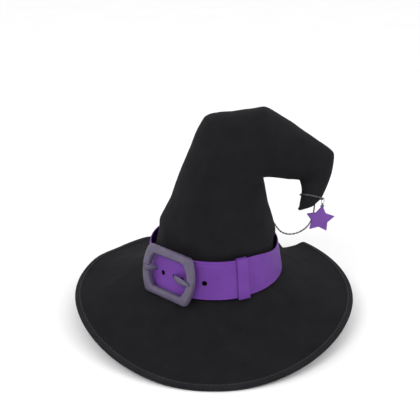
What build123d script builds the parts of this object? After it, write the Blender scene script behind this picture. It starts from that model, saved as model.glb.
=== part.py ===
from build123d import *
import os
from math import atan, cos, degrees, radians, sin, sqrt

# Witch hat: a bent felt crown on a stiff brim, with a buckled strap, and a star charm and a hanging
# chain on the tip. Millimetres. +Z is up, +Y is the back of the hat, and +X is the side that the tip
# points to. The origin is on the surface that the hat stands on, under the head opening's centre.
# An azimuth is an angle about +Z, counted from +X, so 270 degrees is the front.

# ---- head opening and brim ---------------------------------------------------------------------
HEAD_RADIUS = 92.0          # inside of the sweatband: a 578 mm head
SWEATBAND_THICKNESS = 1.2
SWEATBAND_BOTTOM = 44.0
SEAM_GAP = 0.02             # between the sweatband and the brim
JUNCTION_HEIGHT = 63.5      # where the brim's top face meets the crown
BRIM_RADIUS = 205.0         # over the binding, at the front
BRIM_FELT = 1.8             # one layer of brim felt
BRIM_CURVE = 1.9            # exponent of the brim's fall from the crown to the rim
BINDING_THICKNESS = 0.6
BINDING_WIDTH = 9.0
# The rim's turning points: azimuth, height above the ground, and radius seen from above.
RIM_TURNS = ((-96.0, 0.0, 205.0), (-88.0, 0.0, 205.0), (-12.0, 25.0, 201.5),
(41.5, 26.5, 201.5), (51.0, 0.0, 197.0),
             (60.0, 15.0, 201.0), (65.0, 15.0, 203.0), (86.0, 0.0, 205.0),
             (104.0, 0.0, 205.0), (126.0, 19.0, 203.0),
             (138.0, 20.0, 202.0), (160.0, 28.0, 201.5), (190.0, 29.0, 201.5), (264.0, 0.0, 205.0))
BRIM_WIRE_WIDTH = 3.0
BRIM_WIRE_THICKNESS = 1.0
BRIM_WIRE_INSET = 1.5
BRIM_STEP = 4               # degrees between the points of a brim ring
BRIM_FRACTIONS = (0.0, 0.07, 0.2, 0.38, 0.58, 0.78)

# ---- crown -------------------------------------------------------------------------------------
CROWN_FELT = 2.0
LINING_THICKNESS = 0.6
CROWN_RING_POINTS = 20
# Each section of the crown runs from the outside of the bend (x, z) to the inside of it (x, z). Then
# come the y of its centre, its half width in y, and the tilt of its back edge downwards, in degrees.
CROWN_SECTIONS = (
    ((-94.0, 63.5), (94.0, 63.5), 0.0, 94.0, 0.0),       # on the brim
    ((-92.7, 68.0), (92.7, 68.0), 0.0, 92.7, 0.0),       # bottom of the lining
    ((-85.8, 90.0), (85.8, 90.0), 0.0, 85.8, 0.0),       # under the strap
    ((-77.5, 116.0), (81.0, 116.0), 2.0, 79.0, 0.0),     # waist at the strap's top edge
    ((-78.0, 126.0), (85.5, 121.5), 2.5, 81.0, 0.0),     # bulge above the strap
    ((-76.5, 138.0), (85.5, 130.0), 3.5, 81.0, 0.0),
    ((-64.2, 162.0), (74.8, 162.0), 6.0, 69.8, 0.0),
    ((-50.3, 197.6), (67.6, 197.0), 8.0, 59.4, 0.0),
    ((-33.8, 237.2), (68.4, 199.0), 8.0, 56.0, 0.0),     # first bend
    ((-13.6, 282.2), (69.8, 200.0), 8.0, 53.0, 0.0),
    ((24.0, 288.8), (73.0, 200.4), 8.0, 50.0, 0.0),
    ((66.7, 297.0), (78.0, 200.2), 7.0, 47.0, 0.0),
    ((92.2, 283.2), (88.0, 199.8), 5.0, 41.5, 0.0),
    ((116.8, 266.4), (99.0, 199.4), 3.0, 35.0, 0.0),
    ((138.6, 252.8), (108.0, 199.0), 0.0, 30.0, 4.0),
    ((159.0, 237.7), (115.2, 198.5), -5.0, 25.5, 8.0),   # second bend
    ((157.8, 213.2), (116.8, 194.5), -13.0, 20.5, 18.0),
    ((150.6, 191.8), (117.3, 190.0), -20.0, 16.0, 24.0),
    ((143.9, 180.0), (116.5, 186.1), -26.0, 14.0, 28.0), # under the tip loop
    ((131.6, 171.0), (114.6, 178.0), -32.0, 8.7, 34.0),
    ((115.4, 167.2), (113.4, 172.3), -36.0, 2.8, 38.0),  # tip
)
LINING_FIRST = 1            # the lining starts at this section
LINING_LAST = 7             # and ends in a flat top just under this one
TIP_LOOP_SECTION = 18
CROWN_WIRE_RADIUS = 1.0
CROWN_WIRE_BEND = 14.0
CROWN_WIRE_PATH = ((18.0, 8.0, 203.0), (44.0, 8.0, 246.0), (92.0, 5.0, 240.0), (133.0, -4.0, 216.0),
                   (132.0, -22.0, 188.0), (124.0, -31.0, 176.0))

# ---- strap -------------------------------------------------------------------------------------
STRAP_BOTTOM = 65.5
STRAP_TOP = 117.0
STRAP_RADIUS = 99.6         # outside of the strap at its bottom edge
STRAP_SLOPE = 0.176         # how much the strap's radius shrinks for each mm of height
STRAP_LAYER = 1.5
TAIL_START = 207.0
TAIL_TIP = 303.5
TAIL_POINT = 17.0           # length of the rounded end
HOLE_RADIUS = 3.5
HOLE_AZIMUTHS = (223.7, 242.9, 262.1)
HOLE_HEIGHT = 88.5
TACK_AZIMUTHS = (20.0, 75.0, 130.0, 185.0)
TACK_RADIUS = 0.5
TACK_HEIGHT = 72.0
TACK_CROWN_RADIUS = 91.4    # the crown's radius at the tacks

# ---- keeper ------------------------------------------------------------------------------------
KEEPER_AZIMUTH = 293.5
KEEPER_SPAN = 9.6           # degrees, about 16 mm
KEEPER_GAP = 0.4
KEEPER_FRONT = 2.0
KEEPER_BACK = 0.8
KEEPER_END = 1.5

# ---- buckle, in a plane that touches the strap: x to the right, y up, z outwards -----------------
BUCKLE_AZIMUTH = 231.0
BUCKLE_HEIGHT = 90.5
BUCKLE_HALF_HEIGHT = 33.0
BUCKLE_HALF_TOP = 35.5      # half width at the corners
BUCKLE_HALF_MIDDLE = 44.5   # half width at the bowed sides
BUCKLE_BAR = 10.8
BUCKLE_THICKNESS = 7.5
BUCKLE_BEVEL = 2.2
BUCKLE_CORNER = 7.0
BUCKLE_INNER_CORNER = 3.5
BUCKLE_GAP = 0.1
SEAT_RADIUS = 3.2           # round part of the left bar, which the tongue turns on
SEAT_LENGTH = 9.0
TONGUE_FIT = 0.1
TONGUE_COLLAR = 4.7
TONGUE_ROOT = 8.2           # width where it leaves the collar
TONGUE_NECK = 4.8
TONGUE_WIDTH = 9.2          # widest, near the point
TONGUE_THICKNESS = 1.8
TONGUE_PATH = ((-38.0, 7.6), (-33.5, 6.2), (-29.5, 0.0), (-27.0, -5.4), (-24.5, -8.6), (-14.0, -6.4), (1.0, -5.2),
               (5.5, -3.6), (9.5, 1.6), (14.0, 4.4), (22.0, 6.8), (33.0, 8.8), (44.0, 9.8))
TONGUE_SLOTS = ((-31.5, -23.5), (3.6, 11.6))
TONGUE_SLOT_HEIGHT = 7.0
TONGUE_TIP = 42.0

# ---- chain and charm ---------------------------------------------------------------------------
CHAIN_RADIUS = 1.2
TIP_LOOP_RADIUS = 15.8
TIP_LOOP_SHIFT = 0.8
LINK_WIRE = 0.4
LINK_HALF_WIDTH = 1.8
LINK_ABOVE = 1.8            # the link's top, above the loop's centreline
LINK_BELOW = 7.6
RING_RADIUS = 2.4
RING_WIRE = 0.5
STAR_OUTER = 20.4
STAR_INNER = 11.6
STAR_THICKNESS = 3.0
STAR_BEVEL = 0.7
STAR_TAB = 2.7
STAR_HOLE = 1.3
ANCHOR_AZIMUTH = 32.0
ANCHOR_CENTRE = (3.5, 2.4, 124.0)
ANCHOR_CROWN_RADIUS = 82.0
ANCHOR_DISC = 4.2
ANCHOR_DISC_THICKNESS = 1.2
ANCHOR_RING = 2.6
ANCHOR_RING_WIRE = 0.7
CHAIN_ROUTE = ((138.1, -12.9, 172.6), (137.9, -12.5, 161.0), (136.6, -12.0, 146.8), (132.2, -11.0, 132.6),
               (122.0, -8.4, 121.2), (108.8, -3.4, 114.0), (97.4, 7.0, 111.6), (91.6, 20.5, 112.6),
               (87.2, 33.5, 115.8), (80.4, 44.0, 120.6), (78.2, 49.2, 123.0))


def smooth_step(value, low, high):
    """0 below low, 1 above high, and smooth between."""
    share = min(max((value - low) / (high - low), 0.0), 1.0)
    return share * share * (3.0 - 2.0 * share)


def polar(radius, azimuth, height):
    return Vector(radius * cos(radians(azimuth)), radius * sin(radians(azimuth)), height)


def loop_wire(points):
    return Wire([Edge.make_spline(points, periodic=True)])


def ruled_faces(wires):
    return [Face.make_surface_from_curves(one, two) for one, two in zip(wires, wires[1:])]


def ring_solid(wires):
    """A closed ring whose cross-section has one corner on each wire."""
    return Solid(Shell(ruled_faces(wires + [wires[0]])))


# ---- brim --------------------------------------------------------------------------------------
def rim(azimuth):
    """Height of the felt's top face at the rim, and the rim's radius seen from above."""
    first = RIM_TURNS[0][0]
    azimuth = (azimuth - first) % 360.0 + first
    here, there = [pair for pair in zip(RIM_TURNS, RIM_TURNS[1:]) if pair[0][0] <= azimuth <= pair[1][0]][0]
    share = smooth_step(azimuth, here[0], there[0])
    rise = here[1] + (there[1] - here[1]) * share
    return 2.0 * BRIM_FELT + BINDING_THICKNESS + rise, here[2] + (there[2] - here[2]) * share


def brim_ring(radius, below):
    """A ring at one radius of the brim's front, this far below the felt's top face."""
    felt_edge = BRIM_RADIUS - BINDING_THICKNESS
    inner = HEAD_RADIUS + SWEATBAND_THICKNESS + SEAM_GAP
    share = max((felt_edge - radius) / (felt_edge - inner), 0.0)
    points = []
    for azimuth in range(0, 360, BRIM_STEP):
        rim_height, rim_radius = rim(azimuth)
        reach = inner + (radius - inner) * (rim_radius - inner) / (BRIM_RADIUS - inner)
        height = rim_height + (JUNCTION_HEIGHT - rim_height) * share ** BRIM_CURVE - below
        points.append(polar(reach, azimuth, height))
    return loop_wire(points)


def brim_solids():
    edge = BRIM_RADIUS - BINDING_THICKNESS
    inner = HEAD_RADIUS + SWEATBAND_THICKNESS + SEAM_GAP
    bound = BRIM_RADIUS - BINDING_WIDTH
    wire_out = edge - BRIM_WIRE_INSET
    wire_in = wire_out - BRIM_WIRE_WIDTH
    half = BRIM_WIRE_THICKNESS / 2.0
    spread = [inner + (edge - inner) * fraction for fraction in BRIM_FRACTIONS]
    face = spread + [bound, wire_in, wire_out, edge]
    groove = [(edge, 0.0), (wire_out, 0.0), (wire_out, half), (wire_in, half), (wire_in, 0.0), (bound, 0.0)]

    upper = [(radius, 0.0) for radius in face]
    upper += [(radius, BRIM_FELT - cut) for radius, cut in groove]
    upper += [(radius, BRIM_FELT) for radius in reversed(spread)]
    lower = [(radius, 2.0 * BRIM_FELT) for radius in face]
    lower += [(radius, BRIM_FELT + cut) for radius, cut in groove]
    lower += [(radius, BRIM_FELT) for radius in reversed(spread)]
    wire = [(wire_in, BRIM_FELT - half), (wire_out, BRIM_FELT - half), (wire_out, BRIM_FELT + half),
            (wire_in, BRIM_FELT + half)]
    covered = [bound, wire_in, wire_out, edge]
    bottom = 2.0 * BRIM_FELT
    binding = [(radius, -BINDING_THICKNESS) for radius in covered + [BRIM_RADIUS]]
    binding += [(radius, bottom + BINDING_THICKNESS) for radius in [BRIM_RADIUS] + covered[::-1]]
    binding += [(radius, bottom) for radius in covered]
    binding += [(radius, 0.0) for radius in covered[::-1]]
    corners = {"brim_upper": upper, "brim_lower": lower, "brim_wire": wire, "brim_binding": binding}
    return {name: ring_solid([brim_ring(r, b) for r, b in places]) for name, places in corners.items()}


def sweatband():
    height = JUNCTION_HEIGHT - SWEATBAND_BOTTOM
    outside = Solid.make_cylinder(HEAD_RADIUS + SWEATBAND_THICKNESS, height)
    inside = Solid.make_cylinder(HEAD_RADIUS, height)
    return Pos(0, 0, SWEATBAND_BOTTOM) * (outside - inside)


# ---- crown -------------------------------------------------------------------------------------
def crown_section(index, inset=0.0):
    """Centre, half width in the bend's plane and half width across it, as vectors."""
    (outer_x, outer_z), (inner_x, inner_z), y, half, tilt = CROWN_SECTIONS[index]
    outer = Vector(outer_x, y, outer_z)
    inner = Vector(inner_x, y, inner_z)
    across = (outer - inner) * 0.5
    across = across * ((across.length - inset) / across.length)
    deep = Vector(0.0, cos(radians(tilt)), -sin(radians(tilt))) * (half - inset)
    return (outer + inner) * 0.5, across, deep


def crown_ring(index, inset=0.0):
    centre, across, deep = crown_section(index, inset)
    turns = [360.0 * step / CROWN_RING_POINTS for step in range(CROWN_RING_POINTS)]
    return loop_wire([centre + across * cos(radians(a)) + deep * sin(radians(a)) for a in turns])


def cup(outer, inner):
    """A cup between two stacks of rings: both start at the mouth and end in a flat face."""
    faces = ruled_faces([inner[0]] + outer) + ruled_faces(inner)
    return Solid(Shell(faces + [Face(outer[-1]), Face(inner[-1])]))


def crown_solids():
    last = len(CROWN_SECTIONS) - 1
    felt_outer = [crown_ring(index) for index in range(last + 1)]
    felt_inner = [crown_ring(index, CROWN_FELT) for index in range(last)]
    lined = range(LINING_FIRST, LINING_LAST + 1)
    lining_outer = [crown_ring(index, CROWN_FELT) for index in lined]
    lining_inner = [crown_ring(index, CROWN_FELT + LINING_THICKNESS) for index in lined]
    lining_inner[-1] = Pos(0, 0, -LINING_THICKNESS) * lining_inner[-1]
    filled = [crown_ring(index, CROWN_FELT) for index in range(LINING_LAST, last)]
    path = FilletPolyline(*CROWN_WIRE_PATH, radius=CROWN_WIRE_BEND)
    wire = sweep(Plane(path @ 0, z_dir=path % 0) * Circle(CROWN_WIRE_RADIUS), path)
    stuffing = Solid(Shell(ruled_faces(filled) + [Face(filled[0]), Face(filled[-1])]))
    return {
        "crown_felt": cup(felt_outer, felt_inner),
        "crown_lining": cup(lining_outer, lining_inner),
        "crown_wire": wire,
        "crown_stuffing": stuffing - wire,
    }


# ---- strap and keeper --------------------------------------------------------------------------
def strap_radius(height):
    return STRAP_RADIUS - STRAP_SLOPE * (height - STRAP_BOTTOM)


def cone_band(outward, inward, bottom, top, start, sweep_angle):
    """Part of a cone parallel to the strap, between two distances out from the strap's outside."""
    corners = [(strap_radius(bottom) + outward, bottom), (strap_radius(top) + outward, top),
               (strap_radius(top) + inward, top), (strap_radius(bottom) + inward, bottom)]
    section = Plane.XZ * make_face(Polyline(*corners, close=True))
    return Rot(0, 0, start) * revolve(section, Axis.Z, sweep_angle)


def touching_plane(azimuth, height):
    """The plane that touches the strap's outside: x along the strap, y up, z outwards."""
    lean = atan(STRAP_SLOPE)
    out = Vector(cos(radians(azimuth)) * cos(lean), sin(radians(azimuth)) * cos(lean), sin(lean))
    along = Vector(-sin(radians(azimuth)), cos(radians(azimuth)), 0.0)
    return Plane(origin=polar(strap_radius(height), azimuth, height), x_dir=along, z_dir=out)


def strap_cuts():
    """Punched holes, and the two slots that the tongue passes through."""
    cuts = []
    for azimuth in HOLE_AZIMUTHS:
        plane = touching_plane(azimuth, HOLE_HEIGHT)
        cuts.append(plane * extrude(Circle(HOLE_RADIUS), amount=6.0, both=True))
    buckle = touching_plane(BUCKLE_AZIMUTH, BUCKLE_HEIGHT)
    for left, right in TONGUE_SLOTS:
        slot = Pos((left + right) / 2.0, 0, 0) * Rectangle(right - left, TONGUE_SLOT_HEIGHT)
        cuts.append(buckle * extrude(slot, amount=14.0, both=True))
    return cuts


def strap_solids():
    band = cone_band(-STRAP_LAYER, -2.0 * STRAP_LAYER, STRAP_BOTTOM, STRAP_TOP, 0.0, 360.0)
    tail = cone_band(0.0, -STRAP_LAYER, STRAP_BOTTOM, STRAP_TOP, TAIL_START, TAIL_TIP + 1.0 - TAIL_START)
    for cut in strap_cuts():
        band = band - cut
        tail = tail - cut
    middle = (STRAP_BOTTOM + STRAP_TOP) / 2.0
    reach = degrees(TAIL_POINT / strap_radius(middle))
    plane = touching_plane(TAIL_TIP - reach, middle)
    half = (STRAP_TOP - STRAP_BOTTOM) / 2.0 + 1.0
    arc = ThreePointArc((0, -half), (TAIL_POINT, 0), (0, half))
    far = 3.0 * TAIL_POINT
    beyond = Polyline((0, half), (0, far), (far, far), (far, -far), (0, -far), (0, -half))
    tail = tail - plane * extrude(make_face([arc, beyond]), amount=12.0, both=True)
    reach = strap_radius(TACK_HEIGHT) - 2.0 * STRAP_LAYER - TACK_CROWN_RADIUS
    tacks = []
    for azimuth in TACK_AZIMUTHS:
        plane = Plane(origin=polar(TACK_CROWN_RADIUS, azimuth, TACK_HEIGHT), z_dir=polar(1.0, azimuth, 0.0))
        tacks.append(plane * Solid.make_cylinder(TACK_RADIUS, reach))
    return {"strap_band": band, "strap_tail": tail, "strap_tacks": Compound(children=tacks)}


def keeper_loop():
    start = KEEPER_AZIMUTH - KEEPER_SPAN / 2.0
    back = -2.0 * STRAP_LAYER - KEEPER_GAP
    bottom = STRAP_BOTTOM - KEEPER_GAP
    top = STRAP_TOP + KEEPER_GAP
    body = cone_band(KEEPER_GAP + KEEPER_FRONT, back - KEEPER_BACK, bottom - KEEPER_END, top + KEEPER_END,
                     start, KEEPER_SPAN)
    room = cone_band(KEEPER_GAP, back, bottom, top, start - 1.0, KEEPER_SPAN + 2.0)
    return body - room


# ---- buckle ------------------------------------------------------------------------------------
def buckle_outline(inset, corner):
    half_height = BUCKLE_HALF_HEIGHT - inset
    half_top = BUCKLE_HALF_TOP - inset
    half_middle = BUCKLE_HALF_MIDDLE - inset
    right = ThreePointArc((half_top, half_height), (half_middle, 0), (half_top, -half_height))
    left = ThreePointArc((-half_top, -half_height), (-half_middle, 0), (-half_top, half_height))
    top = Line((-half_top, half_height), (half_top, half_height))
    bottom = Line((half_top, -half_height), (-half_top, -half_height))
    face = make_face([top, right, bottom, left])
    return fillet(face.vertices(), corner)


def buckle_solids():
    plane = touching_plane(BUCKLE_AZIMUTH, BUCKLE_HEIGHT)
    plate = extrude(buckle_outline(0.0, BUCKLE_CORNER), amount=BUCKLE_THICKNESS)
    plate = plate - extrude(buckle_outline(BUCKLE_BAR, BUCKLE_INNER_CORNER), amount=BUCKLE_THICKNESS)
    front = plate.faces().sort_by(Axis.Z)[-1]
    plate = chamfer(front.edges(), BUCKLE_BEVEL)
    seat_x = BUCKLE_BAR / 2.0 - BUCKLE_HALF_MIDDLE
    seat_z = BUCKLE_THICKNESS / 2.0
    gap = Pos(seat_x, 0, seat_z) * Box(BUCKLE_BAR * 1.6, SEAT_LENGTH, BUCKLE_THICKNESS * 2.0)
    seat = Pos(seat_x, 0, seat_z) * Rot(90, 0, 0) * Cylinder(SEAT_RADIUS, SEAT_LENGTH + 2.0)
    frame = Pos(0, 0, BUCKLE_GAP) * ((plate - gap) + seat)

    axis_z = seat_z + BUCKLE_GAP
    centre = Polyline(*[(x, z) for x, z in TONGUE_PATH])
    profile = trace(centre, line_width=TONGUE_THICKNESS)
    blade = Rot(90, 0, 0) * extrude(profile, amount=TONGUE_WIDTH / 2.0, both=True)
    edge = [(-44.0, TONGUE_ROOT / 2.0), (-36.0, TONGUE_ROOT / 2.0), (-26.0, TONGUE_NECK / 2.0),
            (8.0, TONGUE_NECK / 2.0), (26.0, TONGUE_WIDTH / 2.0), (TONGUE_TIP, 0.9)]
    plan = Polyline(*edge, *[(x, -y) for x, y in reversed(edge)], close=True)
    blade = blade & extrude(make_face(plan), amount=30.0, both=True)
    collar = Pos(seat_x, 0, axis_z) * Rot(90, 0, 0) * Cylinder(TONGUE_COLLAR, SEAT_LENGTH - 0.8)
    bore = Pos(seat_x, 0, axis_z) * Rot(90, 0, 0) * Cylinder(SEAT_RADIUS + TONGUE_FIT, SEAT_LENGTH + 4.0)
    tongue = (blade + collar) - bore
    return {"buckle_frame": plane * frame, "buckle_tongue": plane * tongue}


# ---- chain and charm ---------------------------------------------------------------------------
def tip_loop_plane():
    centre, across, deep = crown_section(TIP_LOOP_SECTION)
    across = across.normalized()
    return Plane(origin=centre + across * TIP_LOOP_SHIFT, x_dir=across, z_dir=across.cross(deep))


def oval_link(half_width, top, bottom, wire):
    """A closed wire link in the XZ plane, between two heights."""
    high = top - half_width
    low = bottom + half_width
    path = Wire([
        Edge.make_line((half_width, 0, low), (half_width, 0, high)),
        Edge.make_three_point_arc((half_width, 0, high), (0, 0, top), (-half_width, 0, high)),
        Edge.make_line((-half_width, 0, high), (-half_width, 0, low)),
        Edge.make_three_point_arc((-half_width, 0, low), (0, 0, bottom), (half_width, 0, low)),
    ])
    return sweep(Plane((half_width, 0, low), z_dir=(0, 0, 1)) * Circle(wire), path)


def star_solid():
    points = []
    for corner in range(10):
        radius = STAR_OUTER if corner % 2 == 0 else STAR_INNER
        turn = radians(90.0 + 36.0 * corner)
        points.append((radius * cos(turn), radius * sin(turn)))
    star = extrude(make_face(Polyline(*points, close=True)), amount=STAR_THICKNESS / 2.0, both=True)
    flats = [star.faces().sort_by(Axis.Z)[0], star.faces().sort_by(Axis.Z)[-1]]
    star = chamfer([edge for face in flats for edge in face.edges()], STAR_BEVEL)
    tab = Pos(0, STAR_OUTER - 1.0, 0) * Cylinder(STAR_TAB, STAR_THICKNESS)
    hole = Pos(0, STAR_OUTER - 1.0, 0) * Cylinder(STAR_HOLE, STAR_THICKNESS * 2.0)
    return (star + tab) - hole


def charm_solids():
    plane = tip_loop_plane()
    loop = plane * Solid.make_torus(TIP_LOOP_RADIUS, CHAIN_RADIUS)
    hang = plane.origin + plane.x_dir * TIP_LOOP_RADIUS
    print("charm link hinge", hang)
    link = Pos(hang) * oval_link(LINK_HALF_WIDTH, LINK_ABOVE, -LINK_BELOW, LINK_WIRE)
    star_hang = hang - Vector(0, 0, LINK_BELOW)
    print("star hinge", star_hang)
    ring_centre = star_hang - Vector(0, 0, RING_RADIUS - LINK_WIRE - RING_WIRE - 0.1)
    ring = Pos(ring_centre) * Rot(0, 90, 0) * Solid.make_torus(RING_RADIUS, RING_WIRE)
    star_centre = ring_centre - Vector(0, 0, RING_RADIUS + STAR_OUTER - 1.0)
    star = Pos(star_centre) * Rot(90, 0, 0) * star_solid()
    return {"tip_chain_loop": loop, "charm_link": link, "star_ring": ring, "star_charm": star}


def anchor_solid():
    out = polar(1.0, ANCHOR_AZIMUTH, 0.0)
    base = Vector(*ANCHOR_CENTRE) + out * ANCHOR_CROWN_RADIUS
    disc = Plane(origin=base, z_dir=out) * Solid.make_cylinder(ANCHOR_DISC, ANCHOR_DISC_THICKNESS)
    ring_centre = base + out * (ANCHOR_DISC_THICKNESS + ANCHOR_RING)
    side = out.cross(Vector(0, 0, 1))
    ring = Plane(origin=ring_centre, z_dir=side) * Solid.make_torus(ANCHOR_RING, ANCHOR_RING_WIRE)
    print("chain anchor ring", ring_centre)
    return disc + ring


def chain_solid():
    """A plain tube along the chain: straight runs joined by the largest arcs that fit."""
    points = [Vector(*point) for point in CHAIN_ROUTE]
    radii = []
    for before, corner, after in zip(points, points[1:], points[2:]):
        turn = (corner - before).get_angle(after - corner)
        shorter = min((corner - before).length, (after - corner).length)
        radii.append(0.45 * shorter * cos(radians(turn / 2.0)) / sin(radians(turn / 2.0)))
    print("chain bend radii", [round(radius, 1) for radius in radii])
    path = FilletPolyline(*points, radius=radii)
    tube = sweep(Plane(path @ 0, z_dir=path % 0) * Circle(CHAIN_RADIUS), path)
    print("chain length", round(path.length, 1), "volume share",
          round(tube.volume / (3.14159 * CHAIN_RADIUS ** 2 * path.length), 4))
    return tube


def main():
    os.makedirs("parts", exist_ok=True)
    nodes = {}
    nodes.update(brim_solids())
    nodes["sweatband"] = sweatband()
    nodes.update(crown_solids())
    nodes.update(strap_solids())
    nodes["keeper_loop"] = keeper_loop()
    nodes.update(buckle_solids())
    nodes.update(charm_solids())
    nodes["chain_anchor"] = anchor_solid()
    nodes["hanging_chain"] = chain_solid()
    for name, shape in nodes.items():
        export_step(shape, os.path.join("parts", name + ".step"))
        print(name, round(shape.volume, 1), shape.is_valid)


main()
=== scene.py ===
"""The looks of a felt witch hat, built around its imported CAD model. Metres, in the CAD's frame."""
import math
import random

import bmesh
import bpy
import numpy as np
from mathutils import Matrix, Vector, noise


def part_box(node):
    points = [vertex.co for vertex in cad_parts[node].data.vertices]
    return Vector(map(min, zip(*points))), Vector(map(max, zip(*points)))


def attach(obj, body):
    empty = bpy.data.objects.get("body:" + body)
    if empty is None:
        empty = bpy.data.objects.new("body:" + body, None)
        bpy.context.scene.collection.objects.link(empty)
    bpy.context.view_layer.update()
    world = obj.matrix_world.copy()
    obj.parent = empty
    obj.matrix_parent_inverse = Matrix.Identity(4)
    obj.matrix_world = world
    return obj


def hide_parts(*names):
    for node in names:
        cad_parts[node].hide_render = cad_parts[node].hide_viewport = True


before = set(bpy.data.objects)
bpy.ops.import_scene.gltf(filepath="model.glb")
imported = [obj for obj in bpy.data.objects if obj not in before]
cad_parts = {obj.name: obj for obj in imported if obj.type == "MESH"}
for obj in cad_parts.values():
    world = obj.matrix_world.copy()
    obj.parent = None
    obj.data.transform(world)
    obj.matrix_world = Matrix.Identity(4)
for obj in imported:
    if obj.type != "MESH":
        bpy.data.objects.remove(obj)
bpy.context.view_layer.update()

TURN = 2.0 * math.pi
rng = random.Random(7)

# ---- the hat's driving sizes, in metres ---------------------------------------------------------
HEAD_RADIUS = 0.092
BAND_THICKNESS = 0.0012
BAND_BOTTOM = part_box("sweatband")[0].z
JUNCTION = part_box("sweatband")[1].z
BRIM_RADIUS = 0.205
BRIM_FELT = 0.0018
BRIM_CURVE = 1.9
BINDING = 0.0006
BINDING_WIDTH = 0.009
# The rim's turning points, as in the CAD model: azimuth, height above the floor, radius from above.
RIM_TURNS = ((-96.0, 0.0, 0.205), (-88.0, 0.0, 0.205), (-12.0, 0.025, 0.2015), (41.5, 0.0265, 0.2015),
             (51.0, 0.0, 0.197), (60.0, 0.015, 0.201), (65.0, 0.015, 0.203), (86.0, 0.0, 0.205),
             (104.0, 0.0, 0.205), (126.0, 0.019, 0.203), (138.0, 0.02, 0.202), (160.0, 0.028, 0.2015),
             (190.0, 0.029, 0.2015), (264.0, 0.0, 0.205))
CROWN_FELT = 0.002
LINING = 0.0006
STRAP_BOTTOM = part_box("strap_band")[0].z
STRAP_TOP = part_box("strap_band")[1].z
# Drop of the strap's top edge at the back, and the azimuths over which it begins and ends.
STRAP_DIP = 0.01
DIP_STARTS = (303.0, 345.0)
DIP_ENDS = (185.0, 212.0)
STRAP_RADIUS = 0.0996
STRAP_SLOPE = 0.176
STRAP_LAYER = 0.0015
TAIL_START = 207.0
TAIL_TIP = 303.5
TAIL_POINT = 0.017
HOLE_RADIUS = 0.0035
HOLE_AZIMUTHS = (223.7, 242.9, 262.1)
HOLE_HEIGHT = 0.0885
KEEPER_AZIMUTH = 293.5
KEEPER_SPAN = 9.6
BUCKLE_AZIMUTH = 231.0
BUCKLE_HEIGHT = 0.0905
BUCKLE_HALF_HEIGHT = 0.0342
BUCKLE_HALF_TOP = 0.0355
BUCKLE_HALF_MIDDLE = 0.0445
BUCKLE_BAR = 0.0108
BUCKLE_THICKNESS = 0.0075
BUCKLE_BEVEL = 0.0022
BUCKLE_GAP = 0.0001
BUCKLE_CORNER = 0.007
BUCKLE_INNER_CORNER = 0.0035
SEAT_LENGTH = 0.009
SEAT_RADIUS = 0.0032
CHAIN_DIAMETER = 0.0024

# Stations of the crown: outside of the bend (x, z), inside of it (x, z), y, half width in y, tilt.
CROWN_STATIONS = (
    ((-0.094, 0.0635), (0.094, 0.0635), 0.0, 0.094, 0.0),
    ((-0.0927, 0.068), (0.0927, 0.068), 0.0, 0.0927, 0.0),
    ((-0.0858, 0.09), (0.0858, 0.09), 0.0, 0.0858, 0.0),
    ((-0.0795, 0.116), (0.084, 0.116), 0.002, 0.083, 0.0),
    ((-0.078, 0.126), (0.087, 0.1215), 0.0025, 0.0825, 0.0),
    ((-0.0765, 0.138), (0.0855, 0.13), 0.0035, 0.081, 0.0),
    ((-0.0642, 0.162), (0.0748, 0.162), 0.006, 0.0698, 0.0),
    ((-0.0503, 0.1976), (0.0676, 0.197), 0.008, 0.0594, 0.0),
    ((-0.0338, 0.2372), (0.0684, 0.199), 0.008, 0.056, 0.0),
    ((-0.0136, 0.2822), (0.0698, 0.2), 0.008, 0.053, 0.0),
    ((0.024, 0.2888), (0.073, 0.2004), 0.008, 0.05, 0.0),
    ((0.0667, 0.297), (0.078, 0.2002), 0.007, 0.047, 0.0),
    ((0.0922, 0.2832), (0.088, 0.1998), 0.005, 0.0415, 0.0),
    ((0.1168, 0.2664), (0.099, 0.1994), 0.003, 0.035, 0.0),
    ((0.1386, 0.2528), (0.108, 0.199), 0.0, 0.03, 4.0),
    ((0.159, 0.2377), (0.1152, 0.1985), -0.005, 0.0255, 8.0),
    ((0.1578, 0.2132), (0.1168, 0.1945), -0.013, 0.0205, 18.0),
    ((0.1506, 0.1918), (0.1173, 0.19), -0.02, 0.016, 24.0),
    ((0.1439, 0.18), (0.1165, 0.1861), -0.026, 0.014, 28.0),
    ((0.1316, 0.171), (0.1146, 0.178), -0.032, 0.0087, 34.0),
    ((0.1154, 0.1672), (0.1134, 0.1723), -0.036, 0.0028, 38.0),
)
LINING_STATIONS = (1, 7)
TIP_LOOP_STATION = 18
TIP_LOOP_RADIUS = 0.0158
TIP_LOOP_SHIFT = 0.0008
# The hanging chain's route, as in the CAD model.
CHAIN_ROUTE = ((0.1381, -0.0129, 0.1726), (0.1379, -0.0125, 0.161), (0.1366, -0.012, 0.1468),
               (0.1322, -0.011, 0.1326), (0.122, -0.0084, 0.1212), (0.1088, -0.0034, 0.114),
               (0.0974, 0.007, 0.1116), (0.0916, 0.0205, 0.1126), (0.0872, 0.0335, 0.1158),
               (0.0804, 0.044, 0.1206), (0.0782, 0.0492, 0.123))
# Felt folds on the crown: from (x, z), to (x, z), half width, depth.
CROWN_FOLDS = (
    ((0.07, 0.1985), (0.056, 0.205), 0.0042, 0.004),
    ((0.056, 0.205), (0.043, 0.216), 0.006, 0.0028),
    ((0.07, 0.199), (0.064, 0.226), 0.0055, 0.0022),
    ((0.069, 0.198), (0.05, 0.188), 0.006, 0.0018),
    ((0.116, 0.1985), (0.131, 0.207), 0.0038, 0.0026),
    ((0.116, 0.1985), (0.12, 0.218), 0.004, 0.0018),
    ((-0.013, 0.282), (0.015, 0.256), 0.007, 0.0016),
)


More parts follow.
